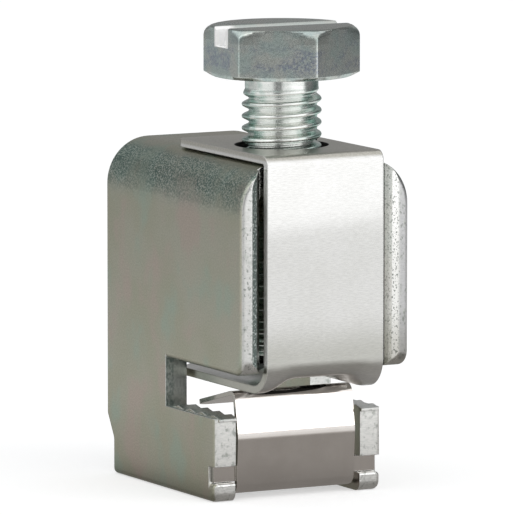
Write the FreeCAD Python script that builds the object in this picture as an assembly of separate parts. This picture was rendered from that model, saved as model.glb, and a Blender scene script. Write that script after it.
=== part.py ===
# Busbar terminal clamp: folded body, pressure strap, slotted hex screw and retaining clip.
# Millimetres. X is the width, -Y the open front, +Z up. The origin is the middle of the base.
import FreeCAD
import Part
import math
import os

V = FreeCAD.Vector

# Folded body: one thick sheet, two cheeks joined by a web
sheet = 3.0
body_width = 23.6
body_depth = 37.2
body_height = 42.9
shoulder_radius = 5.8
edge_roll = 0.7
web_setback = 1.6
break_width = 0.7
break_lip = 0.8
break_slope = 20.0

# Busbar slot and lower jaws
jaw_height = 10.55
jaw_setback = 7.2
slot_height = 6.1
slot_depth = 20.5
arm_nose_radius = 2.0
ridge_count = 4
ridge_pitch = 3.2
ridge_height = 0.35
ridge_start = 1.2
ridge_margin = 0.5

# Notches in the jaw fronts, and the hooks under them
notch_floor = 2.35
notch_height = 2.15
notch_depth = 1.5
hook_setback = 7.3
hook_radius = 1.2
ledge_radius = 0.3

# Relief low on the rear edges
heel_step = 1.8
heel_top = 7.5
heel_bottom = 4.5
heel_radius = 0.7
heel_blend = 1.0

# Screw, M10 with 17 mm across flats
thread_diameter = 10.0
thread_clearance = 0.05
screw_setback = 11.65
across_flats = 17.0
head_height = 6.35
head_lift = 8.7
head_turn = -1.1
head_top_round = 1.5
head_top_steps = 3
head_base_trim = 1.2
head_base_drop = 0.5
neck_inset = 0.4
neck_length = 1.4
driver_slot_width = 2.7
driver_slot_depth = 2.5
driver_slot_flare = 0.4
tip_chamfer = 1.0

# Threaded collar drawn down from the web
collar_wall = 1.6
collar_length = 5.0
collar_root = 1.0
collar_mouth = 1.2

# Pressure strap
strap_sheet = 1.0
strap_side_gap = 0.65
strap_length = 24.3
strap_hole_gap = 0.9
strap_top_bend = 1.3
strap_toe_radius = 4.0
strap_corner = 1.2
saddle_gap = 3.45
saddle_rise = 1.9
saddle_flat_margin = 0.2
saddle_lip = 0.85
saddle_steps = 3

# Swivel end of the screw, held in the saddle
swivel_gap = 0.1
swivel_diameter = 4.4
rivet_diameter = 5.6
rivet_height = 0.6

# Retaining clip, a bowed leaf spring
clip_sheet = 0.55
clip_side_gap = 0.5
clip_sole_length = 3.0
clip_sole_height = 0.75
clip_toe_reach = 0.8
clip_toe_radius = 1.3
clip_bow_back = 0.35
clip_bow_drop = 2.55
clip_bow_radius = 4.0
clip_crest_back = 1.35
clip_crest_gap = 0.1
clip_crest_radius = 1.2
clip_tongue_gap = 0.5
clip_tongue_slope = 14.2
clip_tongue_corner = 2.6
ear_inset = 0.4
ear_gap = 0.1
ear_seat_gap = 0.05

# Places worked out from the sizes
front = -body_depth / 2
half_width = body_width / 2
inner_half = half_width - sheet
web_under = body_height - sheet
slot_top = jaw_height + slot_height
notch_back = hook_setback + notch_depth
axis_y = front + screw_setback
bore_radius = thread_diameter / 2 + thread_clearance
plate_top = body_height + strap_sheet
strap_width = 2 * (inner_half - strap_side_gap)
lip_bottom = jaw_height + saddle_gap
crown_top = lip_bottom + saddle_rise + strap_sheet
screw_seat = crown_top + swivel_gap
head_base = plate_top + head_lift
head_top = head_base + head_height

# Tolerance when comparing places
small = 1e-5


def box(x0, x1, y0, y1, z0, z1):
    """Block between two corners."""
    return Part.makeBox(x1 - x0, y1 - y0, z1 - z0, V(x0, y0, z0))


def rounded_wire(points, radii):
    """Closed outline of straight edges, with a tangent arc of the given radius at each point."""
    count = len(points)
    starts, ends, edges = [], [], []
    for i, (point, radius) in enumerate(zip(points, radii)):
        before = (points[i - 1] - point).normalize()
        after = (points[(i + 1) % count] - point).normalize()
        half = before.getAngle(after) / 2
        reach = radius / math.tan(half)
        starts.append(point + before * reach)
        ends.append(point + after * reach)
    for i, (point, radius) in enumerate(zip(points, radii)):
        if radius > 0:
            toward = (starts[i] + ends[i]) / 2 - point
            centre = point + toward * (radius ** 2 / (starts[i] - point).Length ** 2 + 1)
            middle = centre - toward.normalize() * radius
            edges.append(Part.Arc(starts[i], middle, ends[i]).toShape())
        after = starts[(i + 1) % count]
        if (after - ends[i]).Length > small:
            edges.append(Part.makeLine(ends[i], after))
    return Part.Wire(edges)


def side_prism(pairs, radii, half):
    """Side outline, as distance behind the front and height, made solid across the width."""
    points = [V(-half, front + back, height) for back, height in pairs]
    return Part.Face(rounded_wire(points, radii)).extrude(V(2 * half, 0, 0))


def bent_strip(pairs, radii, thickness, half):
    """Strip folded to a C that opens to the rear: its outer path, thickened to the inside."""
    path = [V(back, height, 0) for back, height in pairs]
    normals = []
    for a, b in zip(path, path[1:]):
        along = (b - a).normalize()
        normals.append(V(along.y, -along.x, 0))
    inner = [path[0] + normals[0] * thickness]
    for point, n0, n1 in zip(path[1:], normals, normals[1:]):
        inner.append(point + (n0 + n1) * (thickness / (1 + n0.dot(n1))))
    inner.append(path[-1] + normals[-1] * thickness)
    inner_radii = [max(radius - thickness, 0) for radius in radii]
    outline = [(p.x, p.y) for p in path + inner[::-1]]
    return side_prism(outline, radii + inner_radii[::-1], half)


def revolved(profile):
    """Turned solid about the screw axis, from radius and height pairs."""
    points = [V(radius, axis_y, height) for radius, height in profile]
    wire = Part.makePolygon(points + points[:1])
    return Part.Face(wire).revolve(V(0, axis_y, 0), V(0, 0, 1), 360)


def cylinder(radius, low, high):
    """Round bar on the screw axis, between two heights."""
    return Part.makeCylinder(radius, high - low, V(0, axis_y, low))


def edges_where(shape, test):
    """Edges whose every vertex passes the test."""
    return [edge for edge in shape.Edges if all(test(v.Point) for v in edge.Vertexes)]


def folded_section():
    """Inverted U of even thickness, as long as the body is deep."""
    outer = [V(-half_width, front, 0), V(-half_width, front, body_height),
             V(half_width, front, body_height), V(half_width, front, 0)]
    inner = [V(inner_half, front, 0), V(inner_half, front, web_under),
             V(-inner_half, front, web_under), V(-inner_half, front, 0)]
    bends = [0, shoulder_radius, shoulder_radius, 0]
    inner_bends = [0, shoulder_radius - sheet, shoulder_radius - sheet, 0]
    section = Part.Face(rounded_wire(outer + inner, bends + inner_bends))
    return section.extrude(V(0, body_depth, 0))


def cheek_outline():
    """Side view of both cheeks: arms, slot, jaws, notches, hooks and heel relief."""
    over = body_height + sheet
    notch_top = notch_floor + notch_height
    corners = [((0, over), 0), ((0, slot_top), arm_nose_radius), ((slot_depth, slot_top), 0),
               ((slot_depth, jaw_height), 0), ((jaw_setback, jaw_height), 0),
               ((jaw_setback, notch_top), 0), ((notch_back, notch_top), 0),
               ((notch_back, notch_floor), 0), ((hook_setback, notch_floor), ledge_radius),
               ((hook_setback, 0), hook_radius), ((body_depth - heel_step, 0), heel_radius),
               ((body_depth - heel_step, heel_bottom), heel_blend),
               ((body_depth, heel_top), heel_blend), ((body_depth, over), 0)]
    return side_prism([pair for pair, _ in corners], [radius for _, radius in corners], half_width + sheet)


def roll_edges(shape):
    """Rounded rim that blanking leaves round the outer face, save in the slot and the notches."""
    def within(edge, depth, low, high):
        return all(v.Y < front + depth + small and low - small < v.Z < high + small for v in edge.Vertexes)

    def outer(point):
        return abs(point.x) > half_width - small or point.z > body_height - small
    rim = []
    for edge in edges_where(shape, outer):
        seam = edge.BoundBox.YLength > body_depth - small
        slot = within(edge, slot_depth, jaw_height, slot_top)
        notch = within(edge, notch_back, notch_floor - ledge_radius, notch_floor + notch_height)
        if not (seam or slot or notch):
            rim.append(edge)
    return shape.makeFillet(edge_roll, rim)


def jaw_ridges():
    """Ridges across the jaw tops that bite the busbar."""
    ridges = []
    for side in (-1, 1):
        x0, x1 = sorted((side * inner_half, side * (half_width - ridge_margin)))
        for i in range(ridge_count):
            crest = front + jaw_setback + ridge_start + i * ridge_pitch
            foot = ridge_pitch / 2
            root = jaw_height - ridge_height
            outline = [V(x0, crest - foot, root), V(x0, crest - foot, jaw_height),
                       V(x0, crest, jaw_height + ridge_height), V(x0, crest + foot, jaw_height),
                       V(x0, crest + foot, root)]
            face = Part.Face(Part.makePolygon(outline + outline[:1]))
            ridges.append(face.extrude(V(x1 - x0, 0, 0)))
    return ridges


def collar():
    """Collar drawn down from the web, with a sloped root."""
    radius = bore_radius + collar_wall
    low = web_under - collar_length
    profile = [(0, low), (radius, low), (radius, web_under - collar_root),
               (radius + collar_root, web_under), (radius + collar_root, web_under + sheet / 2),
               (0, web_under + sheet / 2)]
    return revolved(profile)


def collar_bore():
    """Bore through web and collar, with the rounded mouth that drawing leaves on top."""
    low = web_under - collar_length - sheet
    profile = [(0, low), (bore_radius, low), (bore_radius, body_height - collar_mouth),
               (bore_radius + collar_mouth, body_height), (bore_radius + collar_mouth, body_height + sheet),
               (0, body_height + sheet)]
    return revolved(profile)


def edge_breaks():
    """Strips to cut from the inner front edges of the arms, where the sheet broke off the blank."""
    shallow = break_lip * math.tan(math.radians(break_slope))
    strips = []
    for side in (-1, 1):
        profile = [(0, -sheet), (break_width + break_lip, -sheet), (break_width + break_lip, 0),
                   (break_width, shallow), (0, shallow + break_width)]
        corners = [V(side * (inner_half + across), front + back, slot_top) for across, back in profile]
        strip = Part.Face(Part.makePolygon(corners + corners[:1]))
        strips.append(strip.extrude(V(0, 0, body_height - slot_top)))
    return strips


def clamp_body():
    body = roll_edges(folded_section().common(cheek_outline()))
    recess = box(-inner_half, inner_half, front - sheet, front + web_setback, slot_top, body_height + sheet)
    body = body.cut([recess] + edge_breaks()).fuse([collar()] + jaw_ridges())
    return body.cut(collar_bore()).removeSplitter()


def saddle_section(turn):
    """Closed section of the strap at an angle round its lower bend, 0 at the front wall."""
    half = strap_width / 2
    foot = half - saddle_lip
    flat = rivet_diameter / 2 + saddle_flat_margin
    lift = saddle_rise * math.sin(turn) ** 2
    middle = (foot + flat) / 2
    span = foot - flat

    def place(x, reach):
        return V(x, front + strap_toe_radius - reach * math.cos(turn),
                 lip_bottom + strap_toe_radius - reach * math.sin(turn))

    def slope(reach, side):
        """The S of two equal arcs from a lip up to the crown, or a straight run where there is no lift."""
        ends = [(foot, 0), (middle, lift / 2), (flat, lift)]
        points = [place(side * x, reach - rise) for x, rise in ends]
        if lift < small:
            return [Part.makeLine(points[0], points[1]), Part.makeLine(points[1], points[2])]
        radius = (span ** 2 + lift ** 2) / (4 * lift)
        half_angle = math.asin(span / 2 / radius) / 2
        along = radius * math.sin(half_angle)
        rise = radius * (1 - math.cos(half_angle))
        low = place(side * (foot - along), reach - rise)
        high = place(side * (flat + along), reach - lift + rise)
        arcs = [Part.Arc(points[0], low, points[1]), Part.Arc(points[1], high, points[2])]
        return [arc.toShape() for arc in arcs]

    def curve(reach):
        left = [Part.makeLine(place(-half, reach), place(-foot, reach))] + slope(reach, -1)
        crown = Part.makeLine(place(-flat, reach - lift), place(flat, reach - lift))
        right = slope(reach, 1)[::-1] + [Part.makeLine(place(foot, reach), place(half, reach))]
        return left + [crown] + right
    outer = strap_toe_radius
    inner = strap_toe_radius - strap_sheet
    ends = [Part.makeLine(place(half, outer), place(half, inner)),
            Part.makeLine(place(-half, inner), place(-half, outer))]
    return Part.Wire(curve(outer) + ends[:1] + curve(inner)[::-1] + ends[1:])


def pressure_strap():
    half = strap_width / 2
    bend_height = lip_bottom + strap_toe_radius
    upper = bent_strip([(0, bend_height), (0, plate_top), (strap_length, plate_top)],
                       [0, strap_top_bend, 0], strap_sheet, half)
    turns = [math.pi / 2 * i / saddle_steps for i in range(saddle_steps + 1)]
    toe = Part.makeLoft([saddle_section(turn) for turn in turns], True)
    saddle = Part.Face(saddle_section(turns[-1])).extrude(V(0, strap_length - strap_toe_radius, 0))
    strap = upper.fuse([toe, saddle])

    def plate_end(point):
        return point.y > front + strap_length - small and point.z > body_height - small
    corners = [edge for edge in edges_where(strap, plate_end) if edge.BoundBox.ZLength > strap_sheet / 2]
    strap = strap.makeFillet(strap_corner, corners)
    hole = cylinder(thread_diameter / 2 + strap_hole_gap, body_height - strap_sheet, plate_top + strap_sheet)
    swivel_hole = cylinder(swivel_diameter / 2 + swivel_gap, lip_bottom, crown_top + strap_sheet)
    return strap.cut([hole, swivel_hole]).removeSplitter()


def screw_head():
    """Hexagon with a rounded-off top, a trimmed base and a driver slot."""
    corner = across_flats / math.sqrt(3)
    points = []
    for i in range(6):
        angle = math.radians(60 * i + 30 + head_turn)
        points.append(V(corner * math.cos(angle), axis_y + corner * math.sin(angle), head_base))
    hexagon = Part.Face(Part.makePolygon(points + points[:1])).extrude(V(0, 0, head_height))
    profile = [(0, head_base), (corner - head_base_trim, head_base), (corner, head_base + head_base_drop)]
    for i in range(head_top_steps + 1):
        turn = math.pi / 2 * i / head_top_steps
        profile.append((corner - head_top_round * (1 - math.cos(turn)),
                        head_top - head_top_round * (1 - math.sin(turn))))
    turned = revolved(profile + [(0, head_top)])
    slot_half = driver_slot_width / 2
    slot_floor = head_top - driver_slot_depth
    lip = slot_half + driver_slot_flare
    above = head_top + head_height
    right = [(slot_half, slot_floor), (slot_half, head_top - driver_slot_flare),
             (lip, head_top), (lip, above)]
    section = right + [(-across, height) for across, height in right[::-1]]
    points = [V(-across_flats, axis_y + across, height) for across, height in section]
    slot = Part.Face(Part.makePolygon(points + points[:1])).extrude(V(2 * across_flats, 0, 0))
    slot.rotate(V(0, axis_y, 0), V(0, 0, 1), head_turn)
    return hexagon.common(turned).cut(slot)


def clamp_screw():
    shank = thread_diameter / 2
    pin = swivel_diameter / 2
    rivet = rivet_diameter / 2
    rivet_top = crown_top - strap_sheet - swivel_gap
    neck = shank - neck_inset
    neck_end = head_base - neck_length
    inside_head = head_base + head_height / 4
    stem = revolved([(0, rivet_top - rivet_height), (rivet, rivet_top - rivet_height), (rivet, rivet_top),
                     (pin, rivet_top), (pin, screw_seat), (shank - tip_chamfer, screw_seat),
                     (shank, screw_seat + tip_chamfer), (shank, neck_end), (neck, neck_end),
                     (neck, inside_head), (0, inside_head)])
    return stem.fuse(screw_head()).removeSplitter()


def retaining_clip():
    half = inner_half - clip_side_gap
    toe = notch_back - clip_toe_reach
    bow = jaw_setback + clip_bow_back
    crest = jaw_setback + clip_crest_back
    crest_height = lip_bottom - clip_crest_gap
    tongue = slot_depth - clip_tongue_gap
    drop = math.tan(math.radians(clip_tongue_slope)) * (tongue - crest)
    path = [(toe + clip_sole_length, clip_sole_height), (toe, clip_sole_height),
            (bow, jaw_height - clip_bow_drop), (crest, crest_height), (tongue, crest_height - drop)]
    spring = bent_strip(path, [0, clip_toe_radius, clip_bow_radius, clip_crest_radius, 0], clip_sheet, half)

    def tongue_end(point):
        return point.y > front + tongue - clip_sheet
    corners = [edge for edge in edges_where(spring, tongue_end) if edge.BoundBox.XLength < small]
    spring = spring.makeFillet(clip_tongue_corner, corners)
    ear_half = half_width - ear_inset
    ear_back = front + notch_back - ear_seat_gap
    ears = box(-ear_half, ear_half, ear_back - clip_sheet, ear_back,
               notch_floor + ear_gap, notch_floor + notch_height - ear_gap)
    return spring.fuse(ears).removeSplitter()


def main():
    os.makedirs("parts", exist_ok=True)
    pieces = {"clamp_body": clamp_body(), "pressure_strap": pressure_strap(),
              "clamp_screw": clamp_screw(), "retaining_clip": retaining_clip()}
    for name, shape in pieces.items():
        shape.exportStep("parts/" + name + ".step")
        print(name, len(shape.Solids), round(shape.Volume, 1), shape.isValid(), shape.BoundBox)


main()
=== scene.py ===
import math

import bmesh
import bpy
import numpy as np
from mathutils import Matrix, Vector


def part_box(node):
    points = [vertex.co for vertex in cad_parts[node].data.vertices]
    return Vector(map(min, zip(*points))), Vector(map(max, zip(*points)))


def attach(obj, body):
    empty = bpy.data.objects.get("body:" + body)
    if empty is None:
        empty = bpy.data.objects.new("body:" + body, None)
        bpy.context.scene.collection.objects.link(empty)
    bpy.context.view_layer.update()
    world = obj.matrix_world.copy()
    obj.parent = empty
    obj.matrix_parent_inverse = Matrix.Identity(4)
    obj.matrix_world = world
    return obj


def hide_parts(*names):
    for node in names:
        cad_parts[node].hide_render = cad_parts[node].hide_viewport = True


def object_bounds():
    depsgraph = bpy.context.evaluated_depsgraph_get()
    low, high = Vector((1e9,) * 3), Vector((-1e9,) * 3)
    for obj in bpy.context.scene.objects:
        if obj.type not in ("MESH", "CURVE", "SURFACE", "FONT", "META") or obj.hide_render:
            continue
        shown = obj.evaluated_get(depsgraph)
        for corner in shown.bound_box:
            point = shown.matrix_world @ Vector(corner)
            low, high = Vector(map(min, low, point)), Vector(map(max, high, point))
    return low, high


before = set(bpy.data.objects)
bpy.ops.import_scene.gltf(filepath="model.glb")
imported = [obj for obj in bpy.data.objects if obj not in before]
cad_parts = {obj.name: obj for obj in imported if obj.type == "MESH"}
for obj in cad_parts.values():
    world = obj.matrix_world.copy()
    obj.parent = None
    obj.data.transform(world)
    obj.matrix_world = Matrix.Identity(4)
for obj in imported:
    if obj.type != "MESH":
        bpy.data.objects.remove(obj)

# Looks of the busbar terminal clamp. The sheets keep their solids and get a finish each. The screw's
# solid is replaced by a head with a driver slot and a shank with a true thread.
# All lengths are metres in the row frame. Those of the part are written in millimetres and multiplied
# by MM. Azimuth 0 looks along +Y at the open front, and +Z is up. A level of 1 is white.
MM = 0.001
cad_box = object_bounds()

# Places where the body's finish and its painted shade and highlights change: heights, distances from the
# middle plane, and depths
slot_floor = 10.6 * MM
slot_roof = 16.8 * MM
slot_back = 2.1 * MM
arm_low = 17.0 * MM
torn_edge = 10.2 * MM
bend_low = 36.0 * MM
flat_top = 42.6 * MM
patchy_front = 9.0 * MM
even_rear = 15.0 * MM
nose_shade_height = 8.0 * MM
slot_rim_inside = 10.4 * MM
slot_rim_outside = 10.9 * MM
slot_shade_reach = 8.0 * MM
rim_fade = 0.3 * MM

# Places where the strap's finish and its painted light and shade change: heights, and distance from the
# screw's axis
toe_low = 15.0 * MM
lip_top = 17.0 * MM
wall_low = 18.0 * MM
toe_middle = 18.5 * MM
toe_top = 24.0 * MM
hole_edge = 5.92 * MM
hole_fade = 0.06 * MM

# Camera, fitted to the photograph
camera_azimuth = -27.857
camera_elevation = 7.248
camera_distance = 0.9369
camera_lens = 524.3
camera_sensor = 36.0
camera_nearest = 0.05
camera_farthest = 50
aim_point = Vector((0, -8.6, 29.84)) * MM
aim_shift = 3.78 * MM

# Screw
screw_low, screw_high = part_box("clamp_screw")
screw_axis = (screw_low + screw_high) / 2
across_flats = 17.0 * MM
head_height = 6.35 * MM
head_turn = math.radians(-1.1)
head_sector = math.radians(60)
head_top_round = 1.5 * MM
head_base_trim = 1.2 * MM
head_base_drop = 0.5 * MM
head_edge_round = 0.12 * MM
head_side_rows = 8
head_dome_rows = 18
head_columns = [0, 0.18, 0.34, 0.46, 0.485, 0.492, 0.497, 0.503, 0.508, 0.515, 0.54, 0.66, 0.82]
neck_radius = 4.6 * MM
neck_length = 1.4 * MM
driver_slot_width = 2.7 * MM
driver_slot_depth = 2.5 * MM
driver_slot_flare = 0.4 * MM
driver_slot_ease = 0.2 * MM
thread_radius = 5.0 * MM
thread_pitch = 1.5 * MM
thread_depth = 0.92 * MM
thread_crest = 0.366 * MM
thread_columns = 96
rivet_radius = 2.8 * MM
rivet_height = 0.6 * MM
pin_radius = 2.2 * MM
pin_length = 1.2 * MM
tip_chamfer = 1.0 * MM
head_base = screw_high.z - head_height
thread_top = head_base - neck_length
thread_low = screw_low.z + rivet_height + pin_length

# Share of the pitch from a crest's middle, and depth there as a share of the thread's depth
thread_form = [(0.0, 0.0), (0.09, 0.03), (0.16, 0.12), (0.24, 0.32),
               (0.32, 0.58), (0.39, 0.82), (0.44, 0.95), (0.5, 1.0)]
thread_rows = [0.0, 0.05, 0.09, 0.16, 0.24, 0.32, 0.39, 0.44, 0.5, 0.56, 0.61, 0.68, 0.76, 0.84, 0.91, 0.95]

# Places where the head's finish and its painted highlights, shade and light change: heights, distance from
# the axis, and left end of the slot
cloud_low = head_base + 1.8 * MM
cloud_high = head_base + 3.4 * MM
cloud_fade = 1.4 * MM
corner_high = screw_high.z - 1.1 * MM
flare_low = screw_high.z - 1.7 * MM
flare_high = screw_high.z - 0.7 * MM
flare_fade = 0.15 * MM
flare_start = 8.6 * MM
flare_full = 9.1 * MM
bright_end = -6.5 * MM
bright_end_fade = 1.0 * MM
# Azimuth of the thread's painted side shade, the camera's azimuth
side_shade_azimuth = -28.0

# Studio: levels, shares of them, and where the floor's reflected level changes
world_level = 0.62
floor_size = 8
floor_colour = 0.8
floor_lift = 0.5
floor_under_level = 0.23
floor_round_level = 0.32
floor_open_level = 0.58
floor_left_share = 0.5
floor_behind_share = 0.76
under_near = 12 * MM
under_far = 32 * MM
open_near = 52 * MM
open_far = 78 * MM
left_near = -13 * MM
left_far = -22 * MM
behind_near = 30 * MM
behind_far = 120 * MM
card_fade = 0.05

# Cards for the reflections: azimuth, distance, width, low edge, high edge, level, facing, fade
cards = {
    "rear_card": (-150, 0.30, 0.60, -0.03, 0.13, 0.44, -150, card_fade),
    "rear_dark_card": (-168, 0.32, 0.40, 0.06, 0.26, 0.18, -168, card_fade),
    "rear_right_card": (150, 0.31, 0.60, -0.03, 0.50, 0.33, 150, card_fade),
    "front_left_card": (-38, 0.30, 0.16, -0.005, 0.30, 0.22, -38, 0.02),
    "front_card": (28, 0.09, 0.09, 0.0268, 0.12, 1.24, -15, 0.0005),
    "right_card": (80, 0.30, 0.45, -0.02, 0.30, 0.17, 80, card_fade),
}

# Soft boxes: azimuth, elevation, distance, width, height, level
lamps = {
    "key_lamp": (30, 22, 0.7, 0.6, 0.45, 1.6),
    "side_lamp": (-75, 40, 0.8, 0.5, 0.4, 0.6),
}


# Node trees

class Nodes:
    """A node tree, with one call for each node it gets. Calls return the socket that they make."""

    def __init__(self, tree):
        self.tree = tree
        tree.nodes.clear()

    def add(self, kind, inputs=None, **settings):
        node = self.tree.nodes.new(kind)
        for key, value in settings.items():
            setattr(node, key, value)
        for key, value in (inputs or {}).items():
            if isinstance(value, bpy.types.NodeSocket):
                self.tree.links.new(value, node.inputs[key])
            else:
                node.inputs[key].default_value = value
        return node

    def math(self, operation, a, b=0.0):
        return self.add("ShaderNodeMath", {0: a, 1: b}, operation=operation).outputs[0]

    def product(self, first, *others):
        for other in others:
            first = self.math("MULTIPLY", first, other)
        return first

    def total(self, first, *others):
        for other in others:
            first = self.math("ADD", first, other)
        return first

    def remap(self, value, low, high, to_low=0.0, to_high=1.0):
        """Smooth step of value from low to high."""
        inputs = {"Value": value, "From Min": low, "From Max": high, "To Min": to_low, "To Max": to_high}
        return self.add("ShaderNodeMapRange", inputs, interpolation_type="SMOOTHSTEP").outputs[0]

    def band(self, value, low, high, fade):
        """1 between low and high, and 0 from fade outside them."""
        return self.product(self.remap(value, low - fade, low), self.remap(value, high + fade, high))

    def colour(self, factor, a, b, blend="MIX"):
        node = self.add("ShaderNodeMix", {0: factor, 6: a, 7: b}, data_type="RGBA", blend_type=blend)
        return node.outputs[2]

    def axes(self, vector):
        return self.add("ShaderNodeSeparateXYZ", {0: vector}).outputs

    def coordinates(self, name="Object"):
        return self.add("ShaderNodeTexCoord").outputs[name]

    def noise(self, size, detail=2.0, stretch=(1, 1, 1), offset=0.0):
        """Cloud texture with features of about size, in millimetres, times stretch along each axis."""
        scale = [1 / (size * MM * s) for s in stretch]
        place = self.add("ShaderNodeMapping", {"Vector": self.coordinates(), "Scale": scale,
                                               "Location": (offset, offset, offset)}).outputs[0]
        return self.add("ShaderNodeTexNoise", {"Vector": place, "Scale": 1.0, "Detail": detail}).outputs[0]

    def bump(self, height, depth, normal):
        """Relief of the height texture, depth millimetres deep."""
        return self.add("ShaderNodeBump", {"Height": height, "Distance": depth * MM, "Strength": 1.0,
                                           "Normal": normal}).outputs[0]


def paint(r, g, b):
    """Opaque colour."""
    return (r, g, b, 1.0)


def new_material(name):
    """Material of a name, with an empty node tree."""
    material = bpy.data.materials.new(name)
    material.use_nodes = True
    return material, Nodes(material.node_tree)


def finish_metal(nodes, colour, roughness, normal):
    """Metal shader of a colour, roughness and relief, joined to the output."""
    shader = nodes.add("ShaderNodeBsdfPrincipled", {"Base Color": colour, "Metallic": 1.0,
                                                    "Roughness": roughness, "Normal": normal})
    nodes.add("ShaderNodeOutputMaterial", {"Surface": shader.outputs[0]})


def soft_edges(nodes, radius):
    """Normal with every sharp edge rounded, and how near to an edge a point is."""
    rounded = nodes.add("ShaderNodeBevel", {"Radius": radius * MM}, samples=4).outputs[0]
    true_normal = nodes.add("ShaderNodeNewGeometry").outputs["Normal"]
    likeness = nodes.add("ShaderNodeVectorMath", {0: rounded, 1: true_normal}, operation="DOT_PRODUCT")
    return rounded, nodes.remap(likeness.outputs["Value"], 0.995, 0.9)


def sideways_faces(nodes):
    """Where a face looks left or right, as the sheared sides of a strip do."""
    across = nodes.math("ABSOLUTE", nodes.axes(nodes.coordinates("Normal"))[0])
    return nodes.remap(across, 0.6, 0.9)


def screw_distance(nodes, x, y):
    """Distance from the screw's axis."""
    from_axis = nodes.math("SUBTRACT", y, screw_axis.y)
    return nodes.math("SQRT", nodes.total(nodes.product(x, x), nodes.product(from_axis, from_axis)))


def rolled_colour(nodes, bend, grain, coarse):
    """Warm grey sheet with faint tints, and dark teal and pale grains where it is bent."""
    sheet = nodes.colour(nodes.remap(nodes.noise(9.0, 3), 0.35, 0.65), paint(0.42, 0.42, 0.33),
                         paint(0.45, 0.445, 0.37))
    hue = nodes.noise(6.5, 3, stretch=(1, 1, 1.5), offset=7.0)
    sheet = nodes.colour(nodes.remap(hue, 0.51, 0.66, 0.0, 0.85), sheet, paint(0.385, 0.46, 0.385))
    sheet = nodes.colour(nodes.remap(hue, 0.47, 0.32, 0.0, 0.85), sheet, paint(0.485, 0.415, 0.365))
    sheet = nodes.colour(nodes.remap(grain, 0.30, 0.70), sheet, paint(0.84, 0.85, 0.84), "MULTIPLY")
    sheet = nodes.colour(nodes.product(bend, 0.35), sheet, paint(0.25, 0.36, 0.33))
    dark = nodes.product(bend, nodes.remap(coarse, 0.46, 0.55), 0.95)
    pale = nodes.product(bend, nodes.remap(coarse, 0.46, 0.36), 0.60)
    sheet = nodes.colour(dark, sheet, paint(0.11, 0.17, 0.155))
    return nodes.colour(pale, sheet, paint(0.60, 0.64, 0.62))


def cut_colour(nodes, place, nx, arm, torn, streak, pits):
    """Bright sheared edges, pitted along the arms' inner side, with painted shade on the left arm's inner
    break faces, on the right arm's outer part and lower end, and in the slot.
    """
    x, y, z = place
    across = nodes.math("ABSOLUTE", x)
    blotch = nodes.noise(0.7, 3, offset=9.0)
    dots = nodes.noise(0.19, 2, stretch=(1, 1, 1.4), offset=13.0)
    bright = nodes.colour(nodes.remap(streak, 0.30, 0.70), paint(0.84, 0.85, 0.83), paint(0.97, 0.97, 0.95))
    bright = nodes.colour(arm, bright, paint(0.74, 0.74, 0.74), "MULTIPLY")
    # Painted shade: the outer part of the right arm's cut face is painted greyer.
    right_arm_shade = nodes.product(arm, nodes.remap(x, torn_edge, torn_edge + 0.5 * MM))
    bright = nodes.colour(right_arm_shade, bright, paint(0.84, 0.84, 0.87), "MULTIPLY")
    bright = nodes.colour(nodes.remap(blotch, 0.58, 0.72), bright, paint(0.58, 0.60, 0.57))
    flaws = nodes.product(nodes.remap(blotch, 0.46, 0.60), nodes.remap(pits, 0.46, 0.62), 0.35)
    bright = nodes.colour(flaws, bright, paint(0.36, 0.38, 0.36))
    bright = nodes.colour(nodes.product(nodes.remap(pits, 0.60, 0.70), arm), bright, paint(0.30, 0.32, 0.30))
    broken = nodes.colour(nodes.remap(dots, 0.57, 0.64), paint(0.96, 0.96, 0.94), paint(0.24, 0.26, 0.24))
    # Painted shade: the break faces that look right, on the left arm's inner side, are painted dark, with
    # pale dots.
    shaded_break = nodes.colour(nodes.remap(dots, 0.54, 0.63), paint(0.13, 0.16, 0.15), paint(0.50, 0.54, 0.52))
    broken = nodes.colour(nodes.remap(nx, 0.12, 0.28), broken, shaded_break)
    bright = nodes.colour(torn, bright, broken)
    # Painted shade: the right arm's cut face is painted darker towards its lower end, above the slot.
    nose_shade = nodes.product(nodes.remap(z, arm_low + nose_shade_height, arm_low + 1 * MM), nodes.remap(x, 0, 2 * MM),
                         nodes.remap(z, slot_roof - 0.4 * MM, slot_roof))
    bright = nodes.colour(nose_shade, bright, paint(0.68, 0.67, 0.64), "MULTIPLY")
    # Painted shade in the slot: its back wall is painted darker and pitted, fully on the left and faintly on
    # the right, and painted lighter towards its inner side.
    slot_wall_shade = nodes.colour(nodes.remap(pits, 0.35, 0.65), paint(0.68, 0.74, 0.71), paint(0.36, 0.43, 0.41))
    pale = nodes.product(nodes.remap(across, slot_rim_outside, slot_rim_inside), 0.6)
    slot_wall_shade = nodes.colour(pale, slot_wall_shade, paint(0.74, 0.77, 0.74))
    slot = nodes.product(nodes.band(z, slot_floor, slot_roof, rim_fade),
                         nodes.remap(y, slot_back + 0.2 * MM, slot_back),
                         nodes.remap(x, slot_shade_reach, -slot_shade_reach, 0.2, 1.0))
    return nodes.colour(slot, bright, slot_wall_shade)


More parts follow.
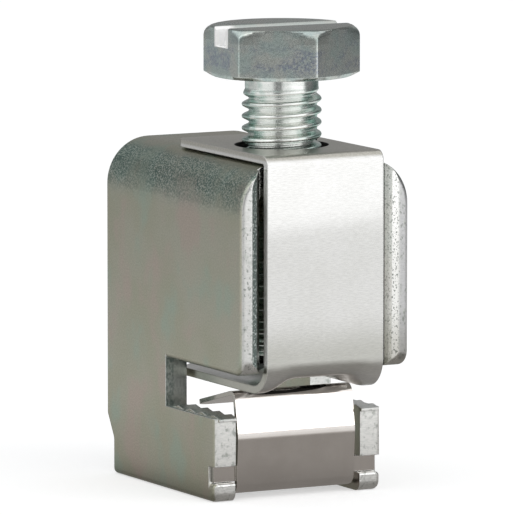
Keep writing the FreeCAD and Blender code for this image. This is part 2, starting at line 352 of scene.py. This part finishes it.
def plated_body():
    """Thick blue-passivated zinc plate: rolled faces, coarse grain on the bends and pitted cut faces."""
    material, nodes = new_material("plated_body")
    rounded, edge = soft_edges(nodes, 0.16)
    nx, ny, _ = nodes.axes(nodes.coordinates("Normal"))
    place = nodes.axes(nodes.coordinates())
    x, y, z = place
    grain = nodes.noise(0.20, 3)
    coarse = nodes.noise(0.22, 5, offset=5.0)
    streak = nodes.noise(0.16, 2, stretch=(4, 1, 1))
    pits = nodes.noise(0.28, 2, stretch=(1, 1, 1.6), offset=11.0)

    through_sheet = nodes.product(nodes.remap(nodes.math("ABSOLUTE", nx), 0.55, 0.3),
                                  nodes.remap(z, bend_low, bend_low - 0.5 * MM))
    cut = nodes.math("MAXIMUM", nodes.remap(nodes.math("ABSOLUTE", ny), 0.55, 0.8), through_sheet)
    arm = nodes.remap(z, arm_low, arm_low + 1 * MM)
    across = nodes.math("ABSOLUTE", x)
    torn = nodes.product(cut, arm, nodes.remap(across, torn_edge + 0.3 * MM, torn_edge - 0.1 * MM))
    patches = nodes.math("MAXIMUM", nodes.remap(nodes.noise(4.5, 3, offset=2.0), 0.36, 0.60, 0.5, 1.0),
                         nodes.remap(y, patchy_front, even_rear))
    bend = nodes.product(nodes.remap(z, bend_low - 0.5 * MM, bend_low + 3.5 * MM),
                         nodes.remap(z, flat_top, flat_top - 0.9 * MM),
                         nodes.math("SUBTRACT", 1.0, cut), patches)

    base = nodes.colour(cut, rolled_colour(nodes, bend, grain, coarse),
                        cut_colour(nodes, place, nx, arm, torn, streak, pits))
    # Painted highlight: sharp edges are painted light, most around the slot.
    slot_rim_highlight = nodes.remap(nodes.band(z, slot_floor, slot_roof, rim_fade), 0, 1, 0.4, 0.9)
    base = nodes.colour(nodes.product(edge, slot_rim_highlight), base, paint(0.85, 0.86, 0.84))
    rough = nodes.total(nodes.remap(grain, 0.3, 0.7, 0.28, 0.38), nodes.product(bend, 0.08),
                        nodes.product(torn, -0.16))
    relief = nodes.total(grain, nodes.product(bend, coarse, 2.5), nodes.product(cut, streak, 0.8),
                         nodes.product(torn, pits, 2.0))
    finish_metal(nodes, base, rough, nodes.bump(relief, 0.009, rounded))
    return material


def brushed_strap():
    """Thin strip with a fine rolled grain across its width, and painted light and shade: a dark wall in its
    punched bore, a darker band low on its front, light cut sides and edges.
    """
    material, nodes = new_material("brushed_strap")
    rounded, edge = soft_edges(nodes, 0.24)
    lines = nodes.noise(0.11, 3, stretch=(7, 1, 1))
    wide = nodes.noise(0.5, 2, stretch=(10, 1, 1), offset=4.0)
    cloud = nodes.noise(6.0, 2)
    speckle = nodes.noise(0.22, 3, offset=6.0)
    x, y, z = nodes.axes(nodes.coordinates())
    hole_shade = nodes.remap(screw_distance(nodes, x, y), hole_edge + hole_fade, hole_edge)
    top = nodes.remap(z, flat_top + 0.5 * MM, flat_top + 0.9 * MM)
    base = nodes.colour(nodes.remap(lines, 0.3, 0.7), paint(0.75, 0.75, 0.74), paint(0.85, 0.85, 0.84))
    base = nodes.colour(nodes.remap(cloud, 0.35, 0.65), base, paint(0.97, 0.97, 0.965), "MULTIPLY")
    base = nodes.colour(top, base, paint(0.70, 0.68, 0.63), "MULTIPLY")
    base = nodes.colour(nodes.product(top, nodes.remap(speckle, 0.45, 0.60)), base, paint(0.85, 0.86, 0.84),
                        "MULTIPLY")
    # Painted shade: a band low on the strap's front is painted darker, most at its middle height.
    toe_shade = nodes.product(nodes.remap(z, toe_top, toe_middle), nodes.remap(z, toe_low, toe_middle))
    base = nodes.colour(toe_shade, base, paint(0.72, 0.72, 0.69), "MULTIPLY")
    # Painted highlight: edges are painted light.
    base = nodes.colour(nodes.product(edge, 0.6), base, paint(0.88, 0.88, 0.87))
    sideways = sideways_faces(nodes)
    # Painted light on the strip's cut sides: near-white paint over their bright sheared finish.
    sheared = nodes.product(sideways, nodes.band(z, wall_low, flat_top - 1 * MM, 1 * MM))
    base = nodes.colour(sheared, base, paint(0.98, 0.98, 0.97))
    # Painted shade: the cut sides are painted darker at the bottom of the strap.
    lip = nodes.product(sideways, nodes.remap(z, wall_low, lip_top))
    base = nodes.colour(lip, base, paint(0.60, 0.60, 0.55), "MULTIPLY")
    # Painted shade: the wall of the punched bore is painted near black.
    base = nodes.colour(hole_shade, base, paint(0.05, 0.05, 0.05))
    flat = nodes.product(nodes.remap(z, lip_top, toe_top), nodes.remap(z, flat_top + 0.4 * MM, flat_top))
    rough = nodes.total(nodes.remap(wide, 0.3, 0.7, 0.29, 0.33), nodes.product(flat, -0.20),
                        nodes.product(sheared, 0.50))
    relief = nodes.total(lines, nodes.product(wide, 0.5))
    finish_metal(nodes, base, rough, nodes.bump(relief, 0.0006, rounded))
    return material


def bright_clip():
    """Thin polished spring strip."""
    material, nodes = new_material("bright_clip")
    rounded, edge = soft_edges(nodes, 0.08)
    lines = nodes.noise(0.12, 2, stretch=(1, 12, 24))
    cloud = nodes.noise(3.0, 2)
    base = nodes.colour(nodes.remap(cloud, 0.3, 0.7), paint(0.74, 0.70, 0.67), paint(0.78, 0.74, 0.71))
    # Painted highlight: edges are painted light.
    base = nodes.colour(nodes.product(edge, 0.5), base, paint(0.9, 0.9, 0.9))
    base = nodes.colour(sideways_faces(nodes), base, paint(0.34, 0.33, 0.30))
    rough = nodes.remap(lines, 0.3, 0.7, 0.08, 0.13)
    finish_metal(nodes, base, rough, nodes.bump(lines, 0.0006, rounded))
    return material


def plated_head():
    """Forged head: blue-green zinc plate with bluish clouds, painted highlights on its edges, painted shade
    on its corners near the top, and a slot with painted light at its left end.
    """
    material, nodes = new_material("plated_head")
    rounded, edge = soft_edges(nodes, 0.07)
    x, y, z = nodes.axes(nodes.coordinates())
    grain = nodes.noise(0.16, 3)
    coarse = nodes.noise(0.32, 3, offset=3.0)
    teal = nodes.remap(nodes.noise(2.6, 3, offset=5.0), 0.40, 0.62)
    cloud = nodes.remap(nodes.noise(2.4, 2, stretch=(1.5, 1.5, 0.7), offset=21.0), 0.42, 0.68)
    middle = nodes.remap(nodes.band(z, cloud_low, cloud_high, cloud_fade), 0, 1, 0.2, 0.65)
    cloud = nodes.product(cloud, nodes.remap(coarse, 0.35, 0.6), middle)
    base = nodes.colour(teal, paint(0.64, 0.665, 0.63), paint(0.57, 0.655, 0.63))
    base = nodes.colour(nodes.remap(coarse, 0.35, 0.65), base, paint(0.90, 0.92, 0.91), "MULTIPLY")
    base = nodes.colour(nodes.remap(grain, 0.35, 0.65), base, paint(0.88, 0.89, 0.89), "MULTIPLY")
    base = nodes.colour(cloud, base, paint(0.27, 0.30, 0.42))
    top = nodes.remap(z, screw_high.z - 0.2 * MM, screw_high.z - 0.05 * MM)
    base = nodes.colour(top, base, paint(0.66, 0.66, 0.65), "MULTIPLY")
    # Painted highlight: the head's edges are painted near white, only faintly near the top.
    corner = nodes.product(edge, nodes.remap(z, corner_high, flare_low, 0.25, 1.0))
    base = nodes.colour(corner, base, paint(0.98, 0.98, 0.97))
    # Painted shade: the head's corners are painted darker just below the top rounding.
    corner_shade = nodes.product(nodes.remap(screw_distance(nodes, x, y), flare_start, flare_full),
                          nodes.band(z, flare_low, flare_high, flare_fade))
    base = nodes.colour(corner_shade, base, paint(0.82, 0.82, 0.82), "MULTIPLY")

    turned = nodes.math("SUBTRACT", nodes.math("ABSOLUTE", nodes.math("SUBTRACT", y, screw_axis.y)),
                        nodes.product(nodes.math("ABSOLUTE", x), math.tan(abs(head_turn))))
    wall = driver_slot_width / 2 + driver_slot_flare
    slot_base = screw_high.z - driver_slot_depth
    slot = nodes.product(nodes.remap(turned, wall, wall - 0.1 * MM),
                         nodes.remap(z, slot_base - 0.05 * MM, slot_base))
    # Painted light: the left end of the driver slot is painted near white.
    lit_slot_end = nodes.product(slot, nodes.remap(x, bright_end + bright_end_fade, bright_end))
    base = nodes.colour(nodes.product(slot, 0.6), base, paint(0.52, 0.53, 0.51))
    base = nodes.colour(lit_slot_end, base, paint(0.99, 0.99, 0.99))
    rough = nodes.total(nodes.remap(grain, 0.3, 0.7, 0.20, 0.30), nodes.product(lit_slot_end, 0.55))
    finish_metal(nodes, base, rough, nodes.bump(nodes.total(grain, coarse), 0.005, rounded))
    return material


def plated_thread():
    """Rolled thread: bright silver, with painted blue-green shade on the two sides that are its edges from
    the camera's azimuth.
    """
    material, nodes = new_material("plated_thread")
    rounded, edge = soft_edges(nodes, 0.08)
    grain = nodes.noise(0.22, 3)
    bands = nodes.noise(0.5, 2, stretch=(6, 6, 0.5), offset=2.0)
    x, y, _ = nodes.axes(nodes.coordinates())
    # Painted shade: the two sides of the thread that face across the camera's view are painted darker
    # blue-green.
    facing = math.radians(side_shade_azimuth)
    sideways = nodes.total(nodes.product(x, math.cos(facing)),
                           nodes.product(nodes.math("SUBTRACT", y, screw_axis.y), math.sin(facing)))
    side_shade = nodes.total(nodes.math("DIVIDE", nodes.math("ABSOLUTE", sideways), thread_radius),
                       nodes.remap(nodes.noise(1.6, 2), 0.3, 0.7, -0.2, 0.2))
    base = nodes.colour(nodes.remap(side_shade, 0.45, 1.0), paint(0.90, 0.91, 0.89), paint(0.43, 0.59, 0.54))
    base = nodes.colour(nodes.remap(bands, 0.35, 0.65), base, paint(0.84, 0.87, 0.86), "MULTIPLY")
    # Painted highlight: edges are painted light.
    base = nodes.colour(nodes.product(edge, 0.5), base, paint(0.90, 0.92, 0.91))
    rough = nodes.remap(grain, 0.3, 0.7, 0.18, 0.28)
    finish_metal(nodes, base, rough, nodes.bump(grain, 0.005, rounded))
    return material


# Screw meshes

def add_object(name, mesh, material):
    """Object of a mesh with one material, in the scene."""
    piece = bpy.data.objects.new(name, mesh)
    bpy.context.scene.collection.objects.link(piece)
    mesh.materials.append(material)
    return piece


def grid_mesh(name, rings):
    """Closed skin through rings of points, with a cap on each end."""
    mesh = bpy.data.meshes.new(name)
    bm = bmesh.new()
    rows = [[bm.verts.new(p) for p in ring] for ring in rings]
    count = len(rows[0])
    for low, high in zip(rows, rows[1:]):
        for i in range(count):
            j = (i + 1) % count
            bm.faces.new((low[i], low[j], high[j], high[i]))
    bm.faces.new(rows[0][::-1])
    bm.faces.new(rows[-1])
    bmesh.ops.remove_doubles(bm, verts=bm.verts, dist=1e-7)
    bmesh.ops.dissolve_degenerate(bm, edges=bm.edges, dist=1e-7)
    bmesh.ops.recalc_face_normals(bm, faces=bm.faces)
    bm.to_mesh(mesh)
    bm.free()
    return mesh


def smooth(mesh, angle):
    """Smooth shading, but for edges sharper than an angle in degrees."""
    mesh.shade_smooth()
    mesh.set_sharp_from_angle(angle=math.radians(angle))


def round_profile(profile, radius, steps=4):
    """Radius and height pairs with each inner corner replaced by a small arc."""
    points = [profile[0]]
    for before, corner, after in zip(profile, profile[1:], profile[2:]):
        a, c, b = Vector(before), Vector(corner), Vector(after)
        reach = min(radius, (a - c).length / 2, (b - c).length / 2)
        start, end = c + (a - c).normalized() * reach, c + (b - c).normalized() * reach
        for i in range(steps + 1):
            t = i / steps
            points.append(tuple(start * (1 - t) ** 2 + c * (2 * t * (1 - t)) + end * t ** 2))
    return points + [profile[-1]]


def soft_min(a, b, width):
    """The smaller of two values, with a rounded change-over where they differ by less than width."""
    nearness = max(width - abs(a - b), 0) / width
    return min(a, b) - nearness * nearness * width / 4


def hex_radius(angle):
    """Distance from the axis to the rounded hexagon."""
    offset = (angle - head_turn) % head_sector
    near = across_flats / 2 / math.cos(offset)
    far = across_flats / 2 / math.cos(head_sector - offset)
    return soft_min(near, far, head_edge_round)


def head_angles():
    """Directions of the head's columns, closer together at the corners."""
    return [head_turn + head_sector * (side + share) for side in range(6) for share in head_columns]


def head_mesh():
    """Hex head with a trimmed underside and a round top edge, before its slot is cut."""
    corner = across_flats / math.sqrt(3)
    top = screw_high.z
    rim = top - head_top_round
    low_side = head_base + head_base_drop
    profile = [(0.0, head_base), (corner - head_base_trim, head_base), (corner, low_side), (corner, rim)]
    profile = round_profile(profile, head_edge_round)[1:-1]
    side = rim - low_side
    profile += [(corner, low_side + side * i / head_side_rows) for i in range(2, head_side_rows)]
    for i in range(head_dome_rows + 1):
        turn = math.pi / 2 * i / head_dome_rows
        inward = head_top_round * (1 - math.cos(turn))
        profile.append((corner - inward, rim + head_top_round * math.sin(turn)))
    rings = []
    for radius, height in profile:
        ring = []
        for angle in head_angles():
            r = soft_min(radius, hex_radius(angle), head_edge_round)
            ring.append((screw_axis.x + r * math.cos(angle), screw_axis.y + r * math.sin(angle), height))
        rings.append(ring)
    return grid_mesh("screw_head", rings)


def prism_mesh(name, section, low, high):
    """Solid of one section, given as pairs across and up, drawn out along X."""
    mesh = bpy.data.meshes.new(name)
    bm = bmesh.new()
    near = [bm.verts.new((low, across, up)) for across, up in section]
    far = [bm.verts.new((high, across, up)) for across, up in section]
    for i in range(len(section)):
        j = (i + 1) % len(section)
        bm.faces.new((near[i], near[j], far[j], far[i]))
    bm.faces.new(near[::-1])
    bm.faces.new(far)
    bmesh.ops.recalc_face_normals(bm, faces=bm.faces)
    bm.to_mesh(mesh)
    bm.free()
    return mesh


def cut_slot(head):
    """Driver slot across the head, flared at the top, with eased edges."""
    half = driver_slot_width / 2
    lip = half + driver_slot_flare
    section = [(-half, -driver_slot_depth), (half, -driver_slot_depth), (half, -driver_slot_flare), (lip, 0),
               (lip, head_height), (-lip, head_height), (-lip, 0), (-half, -driver_slot_flare)]
    cutter = bpy.data.objects.new("cutter", prism_mesh("cutter", section, -across_flats, across_flats))
    bpy.context.scene.collection.objects.link(cutter)
    cutter.location = (screw_axis.x, screw_axis.y, screw_high.z)
    cutter.rotation_euler = (0, 0, head_turn)
    bpy.context.view_layer.update()
    slot = head.modifiers.new("slot", "BOOLEAN")
    slot.operation = "DIFFERENCE"
    slot.object = cutter
    slot.solver = "EXACT"
    ease = head.modifiers.new("ease", "BEVEL")
    ease.width = driver_slot_ease
    ease.segments = 3
    ease.limit_method = "ANGLE"
    ease.angle_limit = math.radians(35)
    shaped = bpy.data.meshes.new_from_object(head.evaluated_get(bpy.context.evaluated_depsgraph_get()))
    head.modifiers.clear()
    head.data = shaped
    bpy.data.objects.remove(cutter)


def thread_height(share):
    """Depth below the crest, 0 to 1, at a share of the pitch from the crest's middle."""
    shares, depths = zip(*thread_form)
    return float(np.interp(min(share % 1, 1 - share % 1), shares, depths))


def shank_mesh():
    """Pin, chamfered tip, rolled right-hand thread and plain neck."""
    turns = int((thread_top - thread_low) / thread_pitch) + 2
    start = math.floor((thread_low - thread_crest) / thread_pitch) - 1
    levels = [start + turn + share for turn in range(turns + 1) for share in thread_rows]

    def point(angle, radius, height):
        return (screw_axis.x + radius * math.cos(angle), screw_axis.y + radius * math.sin(angle), height)

    def ring(radius, height):
        return [point(2 * math.pi * i / thread_columns, radius, height) for i in range(thread_columns)]

    rivet_top = screw_low.z + rivet_height
    rivet = [(rivet_radius * 0.3, screw_low.z), (rivet_radius, screw_low.z), (rivet_radius, rivet_top),
             (pin_radius, rivet_top)]
    rings = [ring(r, z) for r, z in round_profile(rivet, rivet_height * 0.45)]
    rings += [ring(pin_radius, thread_low), ring(thread_radius - tip_chamfer, thread_low)]
    for level in levels:
        row = []
        for i in range(thread_columns):
            turn = i / thread_columns
            height = min(max(thread_crest + thread_pitch * (level + turn), thread_low), thread_top)
            share = (height - thread_crest) / thread_pitch - turn
            depth = thread_depth * thread_height(share)
            fade = min((thread_top - height) / thread_pitch, 1)
            cone = thread_radius - tip_chamfer + (height - thread_low)
            threaded = neck_radius + (thread_radius - depth - neck_radius) * fade
            row.append(point(2 * math.pi * turn, min(threaded, cone), height))
        rings.append(row)
    rings += [ring(neck_radius, thread_top), ring(neck_radius, head_base + head_height / 4)]
    return grid_mesh("screw_shank", rings)


def build_screw():
    """Head and shank, which stand for the screw's solid and move with it."""
    head = add_object("screw_head", head_mesh(), plated_head())
    cut_slot(head)
    smooth(head.data, 32)
    shank = add_object("screw_shank", shank_mesh(), plated_thread())
    smooth(shank.data, 50)
    for piece in (head, shank):
        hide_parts("clamp_screw")
        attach(piece, "screw")


# Studio

def toward(azimuth, elevation, distance):
    """Place at a distance from the origin, in a direction in degrees."""
    a = math.radians(azimuth)
    e = math.radians(elevation)
    return Vector((math.sin(a) * math.cos(e), -math.cos(a) * math.cos(e), math.sin(e))) * distance


def make_camera():
    """Long lens from the photograph's viewpoint."""
    camera = bpy.data.cameras.new("camera")
    camera.lens = camera_lens
    camera.sensor_width = camera_sensor
    camera.clip_start = camera_nearest
    camera.clip_end = camera_farthest
    eye = bpy.data.objects.new("camera", camera)
    bpy.context.scene.collection.objects.link(eye)
    a = math.radians(camera_azimuth)
    target = aim_point - Vector((math.cos(a), math.sin(a), 0)) * aim_shift
    back = toward(camera_azimuth, camera_elevation, camera_distance)
    eye.location = target + back
    eye.rotation_euler = (-back).to_track_quat("-Z", "Y").to_euler()
    bpy.context.scene.camera = eye


def make_world():
    """White to the eye and in reflections, and a plain soft light everywhere else."""
    world = bpy.data.worlds.new("world")
    bpy.context.scene.world = world
    world.use_nodes = True
    nodes = Nodes(world.node_tree)
    path = nodes.add("ShaderNodeLightPath").outputs
    seen = nodes.math("MAXIMUM", path["Is Camera Ray"], path["Is Glossy Ray"])
    seen = nodes.math("MAXIMUM", seen, path["Is Transmission Ray"])
    light = nodes.add("ShaderNodeBackground", {"Color": paint(0.98, 0.99, 1.0), "Strength": world_level})
    white = nodes.add("ShaderNodeBackground", {"Color": paint(1, 1, 1), "Strength": 1.0})
    mix = nodes.add("ShaderNodeMixShader", {0: seen, 1: light.outputs[0], 2: white.outputs[0]})
    nodes.add("ShaderNodeOutputWorld", {"Surface": mix.outputs[0]})


def make_floor():
    """Pale floor: white to the eye but for the shadow, and in reflections a glow with a painted shadow,
    darker near the object.
    """
    bpy.ops.mesh.primitive_plane_add(size=floor_size)
    floor = bpy.context.object
    floor.name = "floor"
    material, nodes = new_material("pale_floor")
    path = nodes.add("ShaderNodeLightPath").outputs
    away = nodes.add("ShaderNodeVectorMath", {0: nodes.coordinates()}, operation="LENGTH").outputs["Value"]
    diffuse = nodes.add("ShaderNodeBsdfDiffuse", {"Color": paint(floor_colour, floor_colour, floor_colour)})
    lift_level = nodes.math("MULTIPLY", path["Is Camera Ray"], floor_lift)
    lift = nodes.add("ShaderNodeEmission", {"Color": paint(1, 1, 1), "Strength": lift_level})
    plain = nodes.add("ShaderNodeAddShader", {0: diffuse.outputs[0], 1: lift.outputs[0]})
    # Painted shadow in reflections: the floor's mirrored glow is darker near the object.
    under = nodes.remap(away, under_near, under_far, floor_under_level, floor_round_level)
    x, y, _ = nodes.axes(nodes.coordinates())
    far = nodes.math("MAXIMUM", nodes.remap(away, open_near, open_far),
                     nodes.remap(x, left_near, left_far, 0.0, floor_left_share))
    behind = nodes.remap(y, behind_near, behind_far, 1.0, floor_behind_share)
    level = nodes.product(nodes.total(nodes.product(far, floor_open_level), under), behind)
    warm = nodes.colour(far, paint(1, 0.96, 0.91), paint(1, 1, 0.99))
    mirrored = nodes.add("ShaderNodeEmission", {"Color": warm, "Strength": level})
    mix = nodes.add("ShaderNodeMixShader", {0: path["Is Glossy Ray"], 1: plain.outputs[0],
                                            2: mirrored.outputs[0]})
    nodes.add("ShaderNodeOutputMaterial", {"Surface": mix.outputs[0]})
    floor.data.materials.append(material)


def make_card(name, azimuth, distance, width, low, high, level, facing, fade):
    """Upright card with edges that fade over a width, seen in reflections only."""
    bpy.ops.mesh.primitive_plane_add(size=1)
    card = bpy.context.object
    card.name = name
    card.scale = (width, high - low, 1)
    card.location = toward(azimuth, 0, distance) + Vector((0, 0, (low + high) / 2))
    card.rotation_euler = (math.pi / 2, 0, math.radians(facing))
    material, nodes = new_material(name)
    across, up, _ = nodes.axes(nodes.coordinates())
    side = nodes.remap(nodes.math("ABSOLUTE", across), 0.5, 0.5 - fade / width)
    rise = nodes.remap(nodes.math("ABSOLUTE", up), 0.5, 0.5 - fade / (high - low))
    solid = nodes.math("MULTIPLY", side, rise)
    clear = nodes.add("ShaderNodeBsdfTransparent")
    shade = nodes.add("ShaderNodeEmission", {"Color": paint(1, 1, 1), "Strength": level})
    mix = nodes.add("ShaderNodeMixShader", {0: solid, 1: clear.outputs[0], 2: shade.outputs[0]})
    nodes.add("ShaderNodeOutputMaterial", {"Surface": mix.outputs[0]})
    card.data.materials.append(material)
    for ray in ("camera", "diffuse", "transmission", "shadow", "volume_scatter"):
        setattr(card, "visible_" + ray, False)


def make_lamp(name, azimuth, elevation, distance, width, height, level):
    """Soft box that shines with the given level over its whole face."""
    lamp = bpy.data.lights.new(name, "AREA")
    lamp.shape = "RECTANGLE"
    lamp.size = width
    lamp.size_y = height
    lamp.energy = level * math.pi * width * height
    stand = bpy.data.objects.new(name, lamp)
    bpy.context.scene.collection.objects.link(stand)
    place = toward(azimuth, elevation, distance)
    stand.location = place + Vector((0, 0, cad_box[1].z / 2))
    stand.rotation_euler = place.to_track_quat("Z", "Y").to_euler()


def make_studio():
    """World, floor, cards and lamps."""
    make_world()
    make_floor()
    for name, numbers in cards.items():
        make_card(name, *numbers)
    for name, numbers in lamps.items():
        make_lamp(name, *numbers)


def finish_solid(node, material):
    """Gives a CAD solid its finish."""
    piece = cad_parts[node]
    piece.data.materials.clear()
    piece.data.materials.append(material)


def main():
    """Finishes the sheets, replaces the screw, and sets up studio and camera."""
    bpy.context.scene.view_settings.view_transform = "Standard"
    finish_solid("clamp_body", plated_body())
    finish_solid("pressure_strap", brushed_strap())
    finish_solid("retaining_clip", bright_clip())
    build_screw()
    make_studio()
    make_camera()


main()
